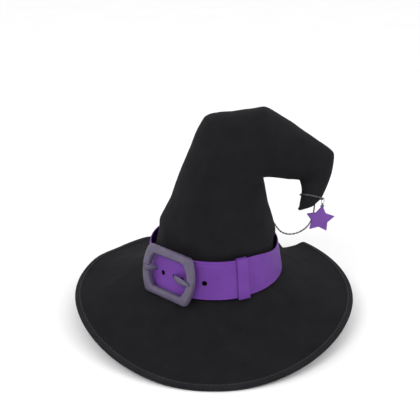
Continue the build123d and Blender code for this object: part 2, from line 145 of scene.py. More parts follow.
# ---- small helpers ------------------------------------------------------------------------------
def smooth_step(value, low, high):
    share = min(max((value - low) / (high - low), 0.0), 1.0)
    return share * share * (3.0 - 2.0 * share)


def polar(radius, azimuth, height):
    turn = math.radians(azimuth)
    return Vector((radius * math.cos(turn), radius * math.sin(turn), height))


def circle(steps):
    """Cosine and sine at even steps round a full turn."""
    return [(math.cos(TURN * i / steps), math.sin(TURN * i / steps)) for i in range(steps)]


def face_outwards(mesh):
    tidy = bmesh.new()
    tidy.from_mesh(mesh)
    bmesh.ops.recalc_face_normals(tidy, faces=tidy.faces)
    tidy.to_mesh(mesh)
    tidy.free()


def add_object(name, verts, faces, material, body, stands_for=(), smooth=True):
    """A mesh object that rides on a body, with its material, slot and the CAD nodes it stands for."""
    mesh = bpy.data.meshes.new(name)
    mesh.from_pydata([tuple(v) for v in verts], [], faces)
    mesh.validate()
    face_outwards(mesh)
    mesh.polygons.foreach_set("use_smooth", [smooth] * len(mesh.polygons))
    piece = bpy.data.objects.new(name, mesh)
    bpy.context.scene.collection.objects.link(piece)
    mesh.materials.append(material)
    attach(piece, body)
    if stands_for:
        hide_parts(*stands_for)
    return piece


def apply_modifiers(piece):
    """Turns the piece's modifiers into mesh."""
    bpy.context.view_layer.update()
    result = piece.evaluated_get(bpy.context.evaluated_depsgraph_get())
    mesh = bpy.data.meshes.new_from_object(result)
    piece.modifiers.clear()
    old = piece.data
    piece.data = mesh
    bpy.data.meshes.remove(old)


def grid_faces(rows, columns, close_rows=False, close_columns=True):
    """Quads of a grid of rows times columns of points."""
    faces = []
    for row in range(rows if close_rows else rows - 1):
        for column in range(columns if close_columns else columns - 1):
            below = (row + 1) % rows
            right = (column + 1) % columns
            faces.append((row * columns + column, row * columns + right, below * columns + right,
                          below * columns + column))
    return faces


def end_caps(rows, columns):
    """The two faces that close the ends of an open grid."""
    last = (rows - 1) * columns
    return [tuple(reversed(range(columns))), tuple(range(last, last + columns))]


def swept(frames, section, closed):
    """Points and faces of a section carried along frames (origin, x axis, y axis)."""
    verts = []
    for origin, x_axis, y_axis in frames:
        verts += [origin + x_axis * x + y_axis * y for x, y in section]
    faces = grid_faces(len(frames), len(section), close_rows=closed)
    if not closed:
        faces += end_caps(len(frames), len(section))
    return verts, faces


def round_section(radius, sides):
    return [(radius * cosine, radius * sine) for cosine, sine in circle(sides)]


def merge(parts):
    """One list of points and one of faces, from several."""
    verts, faces = [], []
    for more_verts, more_faces in parts:
        start = len(verts)
        verts += more_verts
        faces += [tuple(start + i for i in face) for face in more_faces]
    return verts, faces


# ---- materials ----------------------------------------------------------------------------------
class Nodes:
    """A short way to write a node material."""

    def __init__(self, name, roughness, metallic=0.0):
        self.material = bpy.data.materials.new(name)
        self.material.use_nodes = True
        self.tree = self.material.node_tree
        self.shader = self.tree.nodes["Principled BSDF"]
        self.shader.inputs["Roughness"].default_value = roughness
        self.shader.inputs["Metallic"].default_value = metallic
        self.place = self.tree.nodes.new("ShaderNodeTexCoord").outputs["Object"]

    def node(self, kind, **settings):
        made = self.tree.nodes.new(kind)
        for key, value in settings.items():
            setattr(made, key, value)
        return made

    def link(self, output, socket):
        self.tree.links.new(output, socket)

    def noise(self, scale, detail=3.0, rough=0.55, stretch=None):
        place = self.place
        if stretch:
            mapping = self.node("ShaderNodeMapping")
            mapping.inputs["Scale"].default_value = stretch
            self.link(place, mapping.inputs["Vector"])
            place = mapping.outputs["Vector"]
        made = self.node("ShaderNodeTexNoise")
        made.inputs["Scale"].default_value = scale
        made.inputs["Detail"].default_value = detail
        made.inputs["Roughness"].default_value = rough
        self.link(place, made.inputs["Vector"])
        return made.outputs["Fac"]

    def ramp(self, value, stops):
        made = self.node("ShaderNodeValToRGB")
        marks = made.color_ramp.elements
        while len(marks) < len(stops):
            marks.new(0.5)
        for mark, (position, colour) in zip(marks, stops):
            mark.position = position
            mark.color = (*colour, 1.0)
        self.link(value, made.inputs["Fac"])
        return made.outputs["Color"]

    def math(self, operation, one, two):
        made = self.node("ShaderNodeMath", operation=operation)
        for value, socket in ((one, made.inputs[0]), (two, made.inputs[1])):
            if isinstance(value, (int, float)):
                socket.default_value = value
            else:
                self.link(value, socket)
        return made.outputs[0]

    def bump(self, height, strength, distance, below=None):
        made = self.node("ShaderNodeBump")
        made.inputs["Strength"].default_value = strength
        made.inputs["Distance"].default_value = distance
        self.link(height, made.inputs["Height"])
        if below:
            self.link(below, made.inputs["Normal"])
        return made.outputs["Normal"]

    def finish(self, colour, normal, roughness=None, **constants):
        self.link(colour, self.shader.inputs["Base Color"])
        self.link(normal, self.shader.inputs["Normal"])
        if roughness:
            self.link(roughness, self.shader.inputs["Roughness"])
        for key, value in constants.items():
            self.shader.inputs[key.replace("_", " ")].default_value = value
        return self.material


def felt_material(name, dark, light, sheen):
    """Brushed wool felt: matted fibres, faint mottling and a soft sheen."""
    make = Nodes(name, 0.93)
    cloud = make.noise(38.0, 4.0)
    fibre = make.noise(1500.0, 4.0, 0.75)
    hair = make.noise(620.0, 5.0, 0.8, (1.0, 1.6, 0.55))
    mix = make.math("ADD", make.math("MULTIPLY", cloud, 0.5), make.math("MULTIPLY", hair, 0.5))
    colour = make.ramp(mix, ((0.3, dark), (0.72, light)))
    matted = make.bump(make.noise(260.0, 4.0, 0.6), 0.35, 0.0006)
    normal = make.bump(make.math("ADD", fibre, hair), 0.5, 0.0003, matted)
    return make.finish(colour, normal, Sheen_Weight=sheen, Sheen_Roughness=0.55,
                       Sheen_Tint=(0.55, 0.52, 0.58, 1.0), Specular_IOR_Level=0.02)


def leather_material(name, dark, light, roughness):
    """Smooth dyed leather: fine pores and slight creasing."""
    make = Nodes(name, roughness)
    tone = make.noise(24.0, 4.0)
    colour = make.ramp(tone, ((0.32, dark), (0.7, light)))
    cells = make.node("ShaderNodeTexVoronoi", feature="DISTANCE_TO_EDGE")
    cells.inputs["Scale"].default_value = 720.0
    make.link(make.place, cells.inputs["Vector"])
    pores = make.bump(cells.outputs["Distance"], 0.22, 0.00025)
    normal = make.bump(make.noise(110.0, 3.0), 0.25, 0.0005, pores)
    rough = make.ramp(make.noise(60.0), ((0.3, (roughness - 0.07,) * 3), (0.7, (roughness + 0.07,) * 3)))
    return make.finish(colour, normal, rough, Specular_IOR_Level=0.22)


def metal_material(name, dark, light, roughness, metallic):
    """Cast or drawn metal with fine wear."""
    make = Nodes(name, roughness, metallic)
    tone = make.noise(55.0, 5.0, 0.65)
    colour = make.ramp(tone, ((0.3, dark), (0.72, light)))
    scratch = make.noise(900.0, 2.0, 0.5, (1.0, 0.25, 1.0))
    normal = make.bump(scratch, 0.12, 0.00015, make.bump(make.noise(170.0, 3.0), 0.16, 0.0004))
    rough = make.ramp(make.noise(130.0, 4.0), ((0.3, (roughness - 0.1,) * 3), (0.75, (roughness + 0.1,) * 3)))
    return make.finish(colour, normal, rough, Specular_IOR_Level=0.5)


def cloth_material(name, dark, light, period, sheen):
    """Ribbed or plain woven cloth: a weave of that period, in metres."""
    make = Nodes(name, 0.7)
    wave_one = make.node("ShaderNodeTexWave", bands_direction="Z")
    wave_two = make.node("ShaderNodeTexWave", bands_direction="DIAGONAL")
    for wave in (wave_one, wave_two):
        wave.inputs["Scale"].default_value = 0.314 / period
        wave.inputs["Distortion"].default_value = 0.6
        make.link(make.place, wave.inputs["Vector"])
    weave = make.math("MULTIPLY", wave_one.outputs["Fac"], wave_two.outputs["Fac"])
    colour = make.ramp(make.math("ADD", weave, make.noise(80.0)), ((0.4, dark), (1.2, light)))
    normal = make.bump(weave, 0.5, 0.0003)
    return make.finish(colour, normal, Sheen_Weight=sheen, Specular_IOR_Level=0.3)


FELT = felt_material("wool_felt", (0.008, 0.0075, 0.0086), (0.0145, 0.0136, 0.0154), 0.05)
BRIM = felt_material("brim_felt", (0.008, 0.0077, 0.0084), (0.0145, 0.0138, 0.0152), 0.05)
TAPE = felt_material("binding_felt", (0.0115, 0.0108, 0.0124), (0.02, 0.0188, 0.0215), 0.08)
THREAD = cloth_material("black_thread", (0.02, 0.019, 0.021), (0.04, 0.038, 0.042), 0.0006, 0.2)
SATIN = cloth_material("satin_lining", (0.01, 0.01, 0.013), (0.03, 0.028, 0.036), 0.0008, 0.3)
GROSGRAIN = cloth_material("grosgrain", (0.01, 0.01, 0.012), (0.032, 0.03, 0.034), 0.0012, 0.15)
WADDING = felt_material("wadding_fibre", (0.6, 0.6, 0.58), (0.8, 0.8, 0.78), 0.3)
LEATHER = leather_material("purple_leather", (0.112, 0.03, 0.24), (0.14, 0.041, 0.29), 0.55)
# Painted shade: near-black leather for the walls of the strap's punched holes, tongue slots and cut tail end,
# darkening these recesses.
CUT_WALL_SHADE = leather_material("cut_wall_painted_shade", (0.004, 0.003, 0.006), (0.009, 0.006, 0.013), 0.85)
BUCKLE = metal_material("pewter_buckle", (0.08, 0.064, 0.112), (0.115, 0.096, 0.156), 0.45, 0.15)
CHAIN = metal_material("chain_steel", (0.06, 0.062, 0.068), (0.15, 0.152, 0.16), 0.36, 0.75)
WIRE = metal_material("drawn_wire", (0.3, 0.3, 0.31), (0.5, 0.5, 0.52), 0.3, 1.0)
STAR = metal_material("star_enamel", (0.118, 0.03, 0.262), (0.15, 0.042, 0.32), 0.42, 0.0)


# ---- brim ---------------------------------------------------------------------------------------
BRIM_INNER = HEAD_RADIUS + BAND_THICKNESS + 0.00002
BRIM_EDGE = BRIM_RADIUS - BINDING
BRIM_STEPS = 540


def rim(azimuth):
    """Height of the felt's top face at the rim and the rim's radius, as in the CAD model."""
    first = RIM_TURNS[0][0]
    azimuth = (azimuth - first) % 360.0 + first
    here, there = [pair for pair in zip(RIM_TURNS, RIM_TURNS[1:]) if pair[0][0] <= azimuth <= pair[1][0]][0]
    share = smooth_step(azimuth, here[0], there[0])
    rise = here[1] + (there[1] - here[1]) * share
    return 2.0 * BRIM_FELT + BINDING + rise, here[2] + (there[2] - here[2]) * share


RIM = [rim(360.0 * i / BRIM_STEPS) for i in range(BRIM_STEPS)]


def brim_spot(radius, step, below):
    """A spot at one radius of the brim's front, this far below the felt's top face."""
    share = max((BRIM_EDGE - radius) / (BRIM_EDGE - BRIM_INNER), 0.0)
    rim_height, rim_radius = RIM[step % BRIM_STEPS]
    reach = BRIM_INNER + (radius - BRIM_INNER) * (rim_radius - BRIM_INNER) / (BRIM_RADIUS - BRIM_INNER)
    height = rim_height + (JUNCTION - rim_height) * share ** BRIM_CURVE - below
    return polar(reach, 360.0 * step / BRIM_STEPS, height)


def felt_swell(place, size, depth):
    """Uneven thickness of hand-blocked felt."""
    return depth * noise.noise(place * (1.0 / size))


def brim_surface(radius, step, below):
    spot = brim_spot(radius, step, below)
    calm = smooth_step(radius, BRIM_INNER, BRIM_INNER + 0.02) * (1.0 - smooth_step(radius, 0.186, 0.194))
    spot.z += calm * (felt_swell(spot, 0.045, 0.0011) + felt_swell(spot, 0.014, 0.0004))
    return spot


def brim_piece(name, top, bottom, node):
    radii = [BRIM_INNER + (BRIM_EDGE - BRIM_INNER) * i / 44.0 for i in range(45)]
    ring = [(radius, top) for radius in radii] + [(radius, bottom) for radius in reversed(radii)]
    verts = [brim_surface(radius, step, below) for step in range(BRIM_STEPS) for radius, below in ring]
    faces = grid_faces(BRIM_STEPS, len(ring), close_rows=True)
    return add_object(name, verts, faces, BRIM, "hat", [node])


def binding_piece():
    """The tape folded over the rim, with softly rounded folds and a slightly rippled edge."""
    inner = BRIM_RADIUS - BINDING_WIDTH
    thick = 2.0 * BRIM_FELT
    verts = []
    for step in range(BRIM_STEPS):
        ripple = 0.00018 * noise.noise(polar(1.0, 360.0 * step / BRIM_STEPS, 0.0) * 46.0)
        start = inner + 0.0005 * noise.noise(polar(1.0, 360.0 * step / BRIM_STEPS, 0.3) * 30.0)
        profile = [(start, -0.0001), (start + 0.0002, -BINDING * 0.8), (start + 0.0012, -BINDING),
                   (BRIM_RADIUS - 0.0052, -BINDING - ripple), (BRIM_RADIUS - 0.0026, -BINDING)]
        for bend in range(7):
            angle = math.pi * (0.5 - bend / 6.0)
            half = thick / 2.0 + BINDING
            profile.append((BRIM_RADIUS - 0.0024 + 0.0024 * math.cos(angle),
                            thick / 2.0 - half * math.sin(angle)))
        profile += [(BRIM_RADIUS - 0.0052, thick + BINDING), (start + 0.0012, thick + BINDING),
                    (start + 0.0002, thick + BINDING * 0.8), (start, thick + 0.0001),
                    (start + 0.0035, thick), (BRIM_EDGE - 0.0008, thick), (BRIM_EDGE - 0.0008, 0.0),
                    (start + 0.0035, 0.0)]
        for radius, below in profile:
            verts.append(brim_spot(radius, step, below))
    faces = grid_faces(BRIM_STEPS, len(profile), close_rows=True)
    return add_object("rim_binding", verts, faces, TAPE, "hat", ["brim_binding"])


def stitch(start, end, up, radius):
    """One thread stitch that rises from the cloth and dips back into it."""
    along = end - start
    side = along.cross(up).normalized()
    frames = []
    for share, lift in ((0.0, -0.9), (0.12, 0.1), (0.32, 0.7), (0.68, 0.7), (0.88, 0.1), (1.0, -0.9)):
        frames.append((start + along * share + up * (lift * radius), side, up))
    return swept(frames, round_section(radius, 6), closed=False)


def stitch_ring(spots, ups, length, radius):
    """Stitches along a closed run of spots."""
    stitches = []
    for here, there, up in zip(spots, spots[1:] + spots[:1], ups):
        along = there - here
        stitches.append(stitch(here, here + along * length, up, radius))
    return merge(stitches)


def brim_stitches():
    """Two rows of stitches: one on each face of the binding."""
    rows = []
    for below, facing in ((-BINDING, 1.0), (2.0 * BRIM_FELT + BINDING, -1.0)):
        count = 360
        spots, ups = [], []
        for i in range(count):
            radius = BRIM_RADIUS - BINDING_WIDTH + 0.0021
            spots.append(brim_spot(radius, i * BRIM_STEPS // count, below))
            ups.append(Vector((0.0, 0.0, facing)))
        rows.append(stitch_ring(spots, ups, 0.68, 0.00028))
    verts, faces = merge(rows)
    return add_object("binding_stitches", verts, faces, THREAD, "hat")


brim_piece("brim_top_felt", 0.0, BRIM_FELT - 0.00002, "brim_upper")
brim_piece("brim_under_felt", BRIM_FELT, 2.0 * BRIM_FELT, "brim_lower")
binding_piece()
brim_stitches()


# ---- crown --------------------------------------------------------------------------------------
def station_vectors():
    """Centre, half width in the bend's plane and half width across it, for each station."""
    rows = []
    for (outer_x, outer_z), (inner_x, inner_z), y, half, tilt in CROWN_STATIONS:
        outer = np.array((outer_x, y, outer_z))
        inner = np.array((inner_x, y, inner_z))
        deep = np.array((0.0, math.cos(math.radians(tilt)), -math.sin(math.radians(tilt)))) * half
        rows.append(np.concatenate(((outer + inner) / 2.0, (outer - inner) / 2.0, deep)))
    return np.array(rows)


STATIONS = station_vectors()
KNOTS = [0.0]
for one, two in zip(STATIONS, STATIONS[1:]):
    span = np.linalg.norm((two - one)[:3]) + np.linalg.norm((two - one)[3:6])
    KNOTS.append(KNOTS[-1] + math.sqrt(span))
TENSION = 0.62


def crown_state(knot):
    """The crown's section vectors at a knot value: a softened path through the stations."""
    index = max(i for i in range(len(KNOTS) - 1) if KNOTS[i] <= knot or i == 0)
    low, high = STATIONS[index], STATIONS[index + 1]
    width = KNOTS[index + 1] - KNOTS[index]
    t = min((knot - KNOTS[index]) / width, 1.0)

    def slope(i):
        before, after = max(i - 1, 0), min(i + 1, len(KNOTS) - 1)
        return TENSION * (STATIONS[after] - STATIONS[before]) / (KNOTS[after] - KNOTS[before])

    return ((2 * t ** 3 - 3 * t ** 2 + 1) * low + (t ** 3 - 2 * t ** 2 + t) * width * slope(index)
            + (3 * t ** 2 - 2 * t ** 3) * high + (t ** 3 - t ** 2) * width * slope(index + 1))


def fold_depth(spot):
    """How far the folds near the two bends press the felt in."""
    depth = 0.0
    for (x0, z0), (x1, z1), width, deep in CROWN_FOLDS:
        along = np.array((x1 - x0, z1 - z0))
        away = np.array((spot[0] - x0, spot[2] - z0))
        share = float(np.dot(away, along) / np.dot(along, along))
        nearest = np.array((x0, z0)) + along * min(max(share, 0.0), 1.0)
        gap = math.hypot(spot[0] - nearest[0], spot[2] - nearest[1])
        fade = 1.0 - 0.6 * min(max(share, 0.0), 1.0)
        depth += deep * fade * math.exp(-(gap / width) ** 2)
    return depth


def crown_rings(first, last, rows, columns, inset, lively):
    """Rings of points of the crown between two knots, this far inside its outer surface."""
    rings = []
    for row in range(rows):
        knot = first + (last - first) * row / (rows - 1)
        state = crown_state(knot)
        centre, across, deep = state[:3], state[3:6], state[6:]
        across = across * (1.0 - inset / np.linalg.norm(across))
        deep = deep * (1.0 - inset / np.linalg.norm(deep))
        ring = []
        for column in range(columns):
            turn = TURN * column / columns
            spoke = across * math.cos(turn) + deep * math.sin(turn)
            spot = centre + spoke
            if lively:
                outward = spoke / np.linalg.norm(spoke)
                place = Vector(spot)
                free = smooth_step(spot[2], STRAP_TOP - 0.004, STRAP_TOP + 0.018) if spot[0] < 0.1 else 1.0
                small = min(1.0, float(np.linalg.norm(across)) / 0.03)
                facing = abs(math.sin(turn))
                swell = felt_swell(Vector((place.x, place.y, place.z * 0.55)), 0.052, 0.0024)
                swell += felt_swell(place, 0.021, 0.0008) + felt_swell(place, 0.0075, 0.00022)
                spot = spot + outward * free * small * (swell - facing ** 2 * fold_depth(spot))
            ring.append(Vector(spot))
        rings.append(ring)
    return rings


def shell_mesh(outer, inner):
    """A closed shell between two stacks of rings: open at the first ring and capped at the last."""
    columns = len(outer[0])
    rings = inner[::-1] + outer
    verts = [spot for ring in rings for spot in ring]
    faces = grid_faces(len(rings), columns)
    for end, start in ((rings[0], 0), (rings[-1], (len(rings) - 1) * columns)):
        middle = sum(end, Vector()) / columns
        verts.append(middle)
        hub = len(verts) - 1
        faces += [(start + c, start + (c + 1) % columns, hub) for c in range(columns)]
    return verts, faces


CROWN_COLUMNS = 168
CROWN_ROWS = 300
CROWN_INNER_ROWS = 120
LINING_ROWS = 60
WADDING_ROWS = 90
WADDING_COLUMNS = 72


def crown_piece():
    end = KNOTS[-1]
    outer = crown_rings(0.0, end, CROWN_ROWS, CROWN_COLUMNS, 0.0, True)
    tip = crown_state(end)
    toward = Vector(outer[-1][0] - outer[-4][0]).normalized()
    for share, size in ((0.45, 0.88), (0.8, 0.6), (0.98, 0.25)):
        centre = Vector(tip[:3]) + toward * (0.0022 * share)
        outer.append([centre + (spot - Vector(tip[:3])) * size for spot in outer[CROWN_ROWS - 1]])
    inner = crown_rings(0.0, KNOTS[-2], CROWN_INNER_ROWS, CROWN_COLUMNS, CROWN_FELT, False)
    verts, faces = shell_mesh(outer, inner)
    return add_object("crown_shell", verts, faces, FELT, "hat", ["crown_felt"])


def lining_piece():
    first, last = KNOTS[LINING_STATIONS[0]], KNOTS[LINING_STATIONS[1]]
    outer = crown_rings(first, last, LINING_ROWS, CROWN_COLUMNS, CROWN_FELT, False)
    inner = crown_rings(first, last, LINING_ROWS, CROWN_COLUMNS, CROWN_FELT + LINING, False)
    for row, ring in enumerate(inner):
        for column, spot in enumerate(ring):
            pucker = 0.00045 * math.sin(column * 0.9 + 2.5 * noise.noise(spot * 20.0))
            ring[column] = spot * (1.0 - pucker / max(spot.length, 0.05) * (1.0 - row / (LINING_ROWS - 1)))
        if row == LINING_ROWS - 1:
            inner[row] = [spot - Vector((0.0, 0.0, LINING)) for spot in ring]
    verts, faces = shell_mesh(outer, inner)
    return add_object("satin_lining", verts, faces, SATIN, "hat", ["crown_lining"])


def sweatband_piece():
    rows, columns = 26, 360
    outer_radius = HEAD_RADIUS + BAND_THICKNESS
    verts = []
    for column in range(columns):
        azimuth = 360.0 * column / columns
        sag = 0.0004 * noise.noise(polar(1.0, azimuth, 0.0) * 3.0)
        for row in range(rows):
            height = BAND_BOTTOM + (JUNCTION - BAND_BOTTOM) * row / (rows - 1)
            rib = 0.00012 * math.cos(math.pi * row)
            verts.append(polar(HEAD_RADIUS + 0.0001 + rib, azimuth, height + (sag if row == 0 else 0.0)))
        for row in reversed(range(rows)):
            height = BAND_BOTTOM + (JUNCTION - BAND_BOTTOM) * row / (rows - 1)
            verts.append(polar(outer_radius - 0.00004, azimuth, height))
    faces = grid_faces(columns, rows * 2, close_rows=True)
    return add_object("grosgrain_band", verts, faces, GROSGRAIN, "hat", ["sweatband"])


def sweatband_stitches():
    count = 190
    spots = [polar(HEAD_RADIUS - 0.0001, 360.0 * i / count, JUNCTION - 0.0022) for i in range(count)]
    ups = [polar(-1.0, 360.0 * i / count, 0.0) for i in range(count)]
    verts, faces = stitch_ring(spots, ups, 0.6, 0.00026)
    return add_object("band_stitches", verts, faces, THREAD, "hat")


def wadding_piece():
    """Loose fibre wadding inside the bent part of the crown."""
    start = KNOTS[LINING_STATIONS[1]]
    rings = crown_rings(start, KNOTS[-2], WADDING_ROWS, WADDING_COLUMNS, CROWN_FELT + 0.0004, False)
    for ring in rings:
        centre = sum(ring, Vector()) / len(ring)
        for column, spot in enumerate(ring):
            lump = 0.02 + 0.05 * abs(noise.noise(spot * 60.0))
            ring[column] = spot + (centre - spot) * lump
    verts = [spot for ring in rings for spot in ring]
    faces = grid_faces(WADDING_ROWS, WADDING_COLUMNS) + end_caps(WADDING_ROWS, WADDING_COLUMNS)
    piece = add_object("wadding", verts, faces, WADDING, "hat", ["crown_stuffing"])
    return piece


crown_piece()
lining_piece()
sweatband_piece()
sweatband_stitches()
wadding_piece()


# ---- strap --------------------------------------------------------------------------------------
LEAN = math.atan(STRAP_SLOPE)


def strap_spot(azimuth, height, out):
    """A spot this far out from the strap's outside."""
    return polar(STRAP_RADIUS - STRAP_SLOPE * (height - STRAP_BOTTOM) + out, azimuth, height)


def touching_frame(azimuth, height):
    """Origin, and axes along the strap, up and outwards, of a plane that touches the strap."""
    turn = math.radians(azimuth)
    out = Vector((math.cos(turn) * math.cos(LEAN), math.sin(turn) * math.cos(LEAN), math.sin(LEAN)))
    along = Vector((-math.sin(turn), math.cos(turn), 0.0))
    return strap_spot(azimuth, height, 0.0), along, out.cross(along), out


def plane_matrix(azimuth, height):
    origin, along, up, out = touching_frame(azimuth, height)
    return Matrix.Translation(origin) @ Matrix((along, up, out)).transposed().to_4x4()


def strap_profile(bottom, top, outer, inner):
    """Cross-section of a strap layer as (height, out), with rounded edges and a pressed edge line."""
    soft = 0.0005
    crease = 0.0003
    half = []
    middle = (bottom + top) / 2.0
    for edge, sign in ((bottom, 1.0), (top, -1.0)):
        half.append([
            (edge, (outer + inner) / 2.0), (edge, outer - soft),
            (edge + sign * soft * 0.35, outer - soft * 0.3), (edge + sign * soft, outer),
            (edge + sign * 0.0024, outer), (edge + sign * 0.0028, outer - crease),
            (edge + sign * 0.0032, outer - crease), (edge + sign * 0.0036, outer),
        ])
    shares = (0.12, 0.2, 0.3, 0.4, 0.5, 0.6, 0.7, 0.8, 0.88)
    across = [(bottom + (top - bottom) * share, outer) for share in shares]
    back = [(top, inner + soft * 0.6), (top - soft * 0.6, inner), (middle, inner),
            (bottom + soft * 0.6, inner), (bottom, inner + soft * 0.6)]
    return half[0] + across + half[1][::-1] + back


def strap_dip(azimuth):
    """How far the worn strap's top edge has dropped, from the sides round the back."""
    turn = azimuth % 360.0
    if turn > 270.0:
        return STRAP_DIP * smooth_step(turn, *DIP_STARTS)
    return STRAP_DIP * (1.0 - smooth_step(turn, *DIP_ENDS))


def strap_mesh(profile, start, end, steps, closed):
    verts = []
    for step in range(steps if closed else steps + 1):
        azimuth = start + (end - start) * step / steps
        drop = strap_dip(azimuth) / (STRAP_TOP - STRAP_BOTTOM)
        for height, out in profile:
            verts.append(strap_spot(azimuth, height - drop * (height - STRAP_BOTTOM), out))
    rows = steps if closed else steps + 1
    faces = grid_faces(rows, len(profile), close_rows=closed)
    if not closed:
        faces += end_caps(rows, len(profile))
    return verts, faces


def cutter(matrix, outline, reach):
    """A closed prism through the strap, for punching it."""
    count = len(outline)
    verts = [matrix @ Vector((x, y, -reach)) for x, y in outline]
    verts += [matrix @ Vector((x, y, reach)) for x, y in outline]
    return verts, grid_faces(2, count) + end_caps(2, count)


def punch(piece, cuts):
    """Cuts the prisms out of a piece, and gives the walls where they went through a near-black material:
    painted shade in the holes and slots.
    """
    verts, faces = merge(cuts)
    mesh = bpy.data.meshes.new("punch")
    mesh.from_pydata([tuple(v) for v in verts], [], faces)
    face_outwards(mesh)
    # The cut walls get the near-black painted-shade material.
    mesh.materials.append(CUT_WALL_SHADE)
    tool = bpy.data.objects.new("punch", mesh)
    bpy.context.scene.collection.objects.link(tool)
    step = piece.modifiers.new("punch", "BOOLEAN")
    step.operation = "DIFFERENCE"
    step.solver = "EXACT"
    step.object = tool
    step.material_mode = "TRANSFER"
    apply_modifiers(piece)
    bpy.data.objects.remove(tool)
    bpy.data.meshes.remove(mesh)
    piece.data.polygons.foreach_set("use_smooth", [True] * len(piece.data.polygons))
    piece.data.set_sharp_from_angle(angle=math.radians(38.0))


# The strap's slots for the tongue: ends along the strap, half height, and radius of the corners.
TONGUE_SLOTS = ((-0.0312, -0.0245), (0.0052, 0.0104))
TONGUE_SLOT_HALF = 0.0024
TONGUE_SLOT_CORNER = 0.0015


def slot_outline(left, right):
    """A slot's rectangle with rounded corners."""
    corner = TONGUE_SLOT_CORNER
    outline = []
    places = ((right, TONGUE_SLOT_HALF), (left, TONGUE_SLOT_HALF), (left, -TONGUE_SLOT_HALF),
              (right, -TONGUE_SLOT_HALF))
    for quarter, (x, y) in enumerate(places):
        hub_x = x + (-corner if x == right else corner)
        hub_y = y + (-corner if y > 0 else corner)
        for bend in range(4):
            angle = math.radians(90.0 * quarter + 30.0 * bend)
            outline.append((hub_x + corner * math.cos(angle), hub_y + corner * math.sin(angle)))
    return outline


def strap_cuts():
    """The holes of the strap and the tongue's two slots."""
    cuts = [cutter(plane_matrix(azimuth, HOLE_HEIGHT), round_section(HOLE_RADIUS, 28), 0.007)
            for azimuth in HOLE_AZIMUTHS]
    buckle = plane_matrix(BUCKLE_AZIMUTH, BUCKLE_HEIGHT)
    return cuts + [cutter(buckle, slot_outline(left, right), 0.015) for left, right in TONGUE_SLOTS]


def tail_end_cut():
    """Everything past the rounded end of the strap's tail."""
    middle = (STRAP_BOTTOM + STRAP_TOP) / 2.0
    reach = math.degrees(TAIL_POINT / (STRAP_RADIUS - STRAP_SLOPE * (middle - STRAP_BOTTOM)))
    half = (STRAP_TOP - STRAP_BOTTOM) / 2.0 + 0.001
    radius = (half ** 2 + TAIL_POINT ** 2) / (2.0 * TAIL_POINT)
    swing = math.asin(half / radius)
    outline = []
    for i in range(33):
        angle = -swing + 2.0 * swing * i / 32.0
        outline.append((TAIL_POINT - radius + radius * math.cos(angle), radius * math.sin(angle)))
    far = 3.0 * TAIL_POINT
    outline += [(0.0, far), (far, far), (far, -far), (0.0, -far)]
    return cutter(plane_matrix(TAIL_TIP - reach, middle), outline, 0.012)


def strap_pieces():
    band_profile = strap_profile(STRAP_BOTTOM, STRAP_TOP, -STRAP_LAYER, -2.0 * STRAP_LAYER)
    tail_profile = strap_profile(STRAP_BOTTOM, STRAP_TOP, 0.0, -STRAP_LAYER + 0.00002)
    verts, faces = strap_mesh(band_profile, 0.0, 360.0, 360, True)
    band = add_object("strap_ring", verts, faces, LEATHER, "hat", ["strap_band"])
    punch(band, strap_cuts())
    verts, faces = strap_mesh(tail_profile, TAIL_START, TAIL_TIP + 1.0, 100, False)
    tail = add_object("strap_end", verts, faces, LEATHER, "hat", ["strap_tail"])
    punch(tail, strap_cuts() + [tail_end_cut()])
    return band, tail


def keeper_piece():
    """The leather loop round the strap: a soft rounded frame, swept across its width."""
    gap, front, back, end = 0.0004, 0.002, 0.0008, 0.0015
    bottom, top = STRAP_BOTTOM - gap, STRAP_TOP + gap
    inside = -2.0 * STRAP_LAYER - gap
    outline_out = [(bottom - end, inside - back), (bottom - end, gap + front), (top + end, gap + front),
                   (top + end, inside - back)]
    outline_in = [(bottom, inside), (bottom, gap), (top, gap), (top, inside)]

    def rounded(corners, radius):
        spots = []
        for i, (h, o) in enumerate(corners):
            before, after = Vector(corners[i - 1]), Vector(corners[(i + 1) % 4])
            here = Vector((h, o))
            first, last = (before - here).normalized() * radius, (after - here).normalized() * radius
            for share in (0.0, 0.3, 0.7, 1.0):
                spots.append(here + first * (1.0 - share) ** 2 + last * share ** 2)
            for share in (0.2, 0.4, 0.6, 0.8):
                spots.append(here + last + (after - here - last * 2.0) * share)
        return spots

    outer = rounded(outline_out, 0.0011)
    inner = rounded(outline_in, 0.0003)
    verts, count = [], len(outer)
    half = KEEPER_SPAN / 2.0
    sides = ((-half + 0.02, 0.5), (-half, 0.85), (-half + 0.03, 1.0 - 0.06), (-half + 0.35, 1.0),
             (-half + 1.6, 1.0), (0.0, 1.0), (half - 1.6, 1.0), (half - 0.35, 1.0), (half - 0.03, 0.94),
             (half, 0.85), (half - 0.02, 0.5))
    for offset, share in sides:
        for near, far in zip(inner, outer):
            spot = near + (far - near) * share
            verts.append(strap_spot(KEEPER_AZIMUTH + offset, spot.x, spot.y))
    for offset in (half - 0.02, -half + 0.02):
        for near in inner:
            verts.append(strap_spot(KEEPER_AZIMUTH + offset, near.x, near.y))
    faces = grid_faces(len(sides) + 2, count, close_rows=True)
    return add_object("keeper", verts, faces, LEATHER, "keeper", ["keeper_loop"])


strap_pieces()
keeper_piece()


